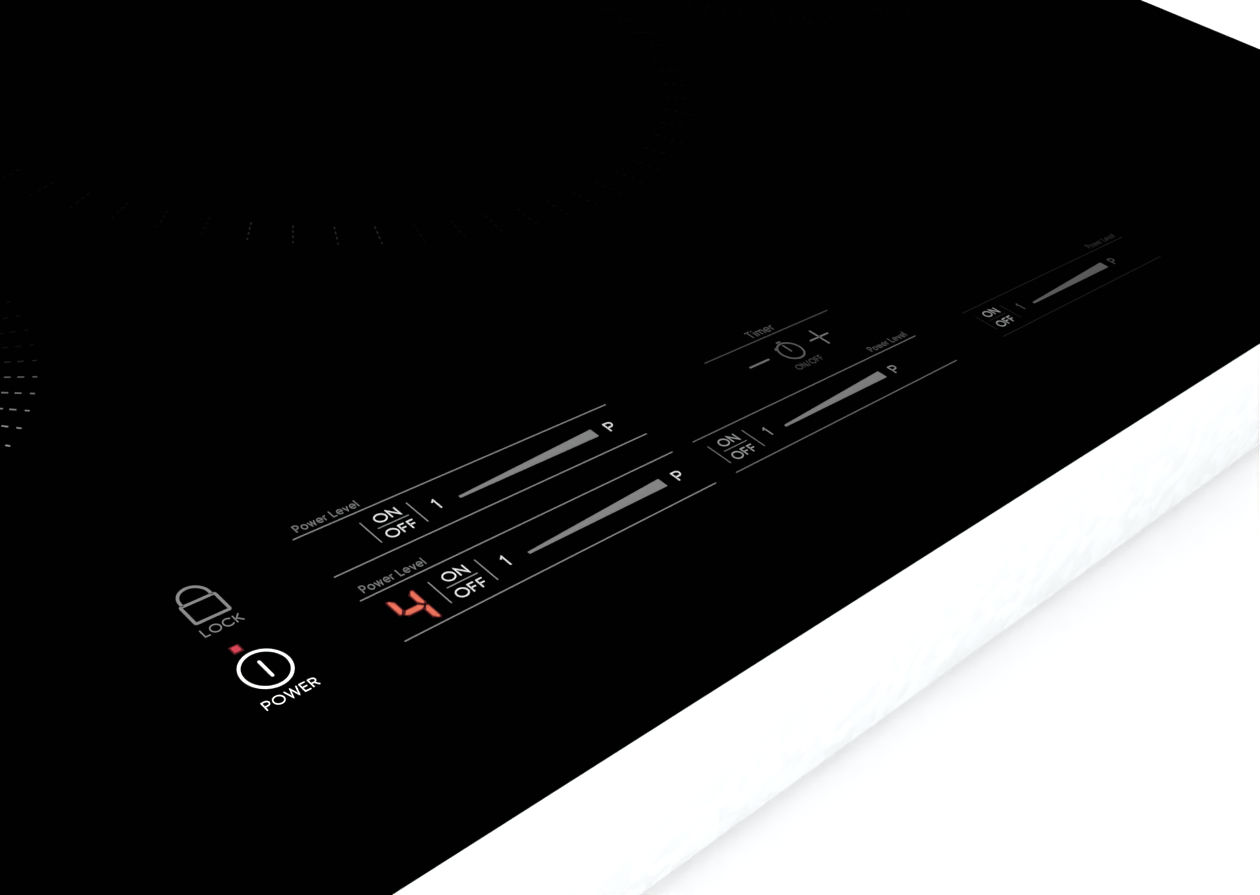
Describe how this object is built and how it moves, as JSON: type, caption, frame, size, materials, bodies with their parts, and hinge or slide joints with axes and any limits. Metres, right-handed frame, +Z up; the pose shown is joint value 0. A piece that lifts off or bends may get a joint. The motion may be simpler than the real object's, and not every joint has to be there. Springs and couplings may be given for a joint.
{
  "type": "induction cooktop",
  "caption": "Drop-in electric induction cooktop: frameless black glass with touch sliders over a steel box that holds spring-floated coils, inverters and blowers.",
  "frame": {"origin": "centre of the underside, level with the pressed feet of the base box", "axes": "+X to the right of the user, +Y to the back, +Z up out of the cooking surface"},
  "size_m": [0.781, 0.546, 0.114],
  "materials": {
    "black_glass": "polished opaque black ceramic glass with printed graphics",
    "foam": "closed-cell foam strip, matt",
    "galvanised_steel": "galvanised sheet with faint spangle",
    "zinc_plated_steel": "zinc plated, satin",
    "spring_steel": "bright tempered strip",
    "aluminium": "mill finish",
    "copper": "enamelled stranded copper wire",
    "mica": "pressed mica sheet",
    "black_plastic": "moulded, fine grain",
    "white_plastic": "moulded, natural white",
    "circuit_board": "green solder mask",
    "display_red": "tinted seven-segment display"
  },
  "bodies": {
    "cooktop": {"base_pan": "galvanised_steel", "blower_cover_left": "black_plastic", "blower_cover_right": "black_plastic", "blower_housing_left": "black_plastic", "blower_housing_right": "black_plastic", "coil_rail_front": "galvanised_steel", "coil_rail_rear": "galvanised_steel", "conduit_connector": "zinc_plated_steel", "conduit_locknut": "zinc_plated_steel", "control_board": "circuit_board", "control_carrier": "white_plastic", "edge_gasket": "foam", "filter_board": "circuit_board", "filter_capacitor_left": "black_plastic", "filter_capacitor_right": "black_plastic", "filter_choke": "copper", "glass_support_frame": "galvanised_steel", "glass_top": "black_glass", "heatsink_left": "aluminium", "heatsink_right": "aluminium", "holddown_bracket_left_front": "galvanised_steel", "holddown_bracket_left_rear": "galvanised_steel", "holddown_bracket_right_front": "galvanised_steel", "holddown_bracket_right_rear": "galvanised_steel", "inverter_board_left": "circuit_board", "inverter_board_right": "circuit_board", "leaf_spring_centre": "spring_steel", "leaf_spring_left": "spring_steel", "leaf_spring_right": "spring_steel", "terminal_block": "white_plastic", "terminal_cover": "galvanised_steel", "zone_display_centre": "display_red", "zone_display_left_front": "display_red", "zone_display_left_rear": "display_red", "zone_display_right": "display_red"},
    "coil_tray_left": {"coil_tray_left": "aluminium", "coil_insulator_left_front": "mica", "coil_winding_left_front": "copper", "coil_former_left_front": "black_plastic", "coil_sensor_left_front": "white_plastic", "coil_insulator_left_rear": "mica", "coil_winding_left_rear": "copper", "coil_former_left_rear": "black_plastic", "coil_sensor_left_rear": "white_plastic"},
    "coil_tray_centre": {"coil_tray_centre": "aluminium", "coil_insulator_centre": "mica", "coil_winding_centre": "copper", "coil_former_centre": "black_plastic", "coil_sensor_centre": "white_plastic"},
    "coil_tray_right": {"coil_tray_right": "aluminium", "coil_insulator_right": "mica", "coil_winding_right": "copper", "coil_former_right": "black_plastic", "coil_sensor_right": "white_plastic"},
    "impeller_left": {"impeller_left": "black_plastic"},
    "impeller_right": {"impeller_right": "black_plastic"},
    "clamp_screw_left_front": {"clamp_screw_left_front": "zinc_plated_steel"},
    "clamp_screw_left_rear": {"clamp_screw_left_rear": "zinc_plated_steel"},
    "clamp_screw_right_front": {"clamp_screw_right_front": "zinc_plated_steel"},
    "clamp_screw_right_rear": {"clamp_screw_right_rear": "zinc_plated_steel"}
  },
  "joints": [
    {"name": "coil_tray_left_float", "type": "slide", "parent": "cooktop", "child": "coil_tray_left", "axis": [0, 0, 1], "range_m": [-0.003, 0], "stiffness_N_per_m": 4000, "springref_m": 0.0075, "deforming": ["leaf_spring_left"]},
    {"name": "coil_tray_centre_float", "type": "slide", "parent": "cooktop", "child": "coil_tray_centre", "axis": [0, 0, 1], "range_m": [-0.003, 0], "stiffness_N_per_m": 4500, "springref_m": 0.0077, "deforming": ["leaf_spring_centre"]},
    {"name": "coil_tray_right_float", "type": "slide", "parent": "cooktop", "child": "coil_tray_right", "axis": [0, 0, 1], "range_m": [-0.003, 0], "stiffness_N_per_m": 3000, "springref_m": 0.0055, "deforming": ["leaf_spring_right"]},
    {"name": "impeller_left_spin", "type": "hinge", "parent": "cooktop", "child": "impeller_left", "pos_m": [-0.29, -0.15, 0.022], "axis": [0, 0, 1], "continuous": true},
    {"name": "impeller_right_spin", "type": "hinge", "parent": "cooktop", "child": "impeller_right", "pos_m": [0.06, -0.15, 0.022], "axis": [0, 0, 1], "continuous": true},
    {"name": "clamp_screw_left_front_travel", "type": "slide", "parent": "cooktop", "child": "clamp_screw_left_front", "axis": [0, 0, 1], "range_m": [0, 0.022]},
    {"name": "clamp_screw_left_rear_travel", "type": "slide", "parent": "cooktop", "child": "clamp_screw_left_rear", "axis": [0, 0, 1], "range_m": [0, 0.022]},
    {"name": "clamp_screw_right_front_travel", "type": "slide", "parent": "cooktop", "child": "clamp_screw_right_front", "axis": [0, 0, 1], "range_m": [0, 0.022]},
    {"name": "clamp_screw_right_rear_travel", "type": "slide", "parent": "cooktop", "child": "clamp_screw_right_rear", "axis": [0, 0, 1], "range_m": [0, 0.022]}
  ]
}
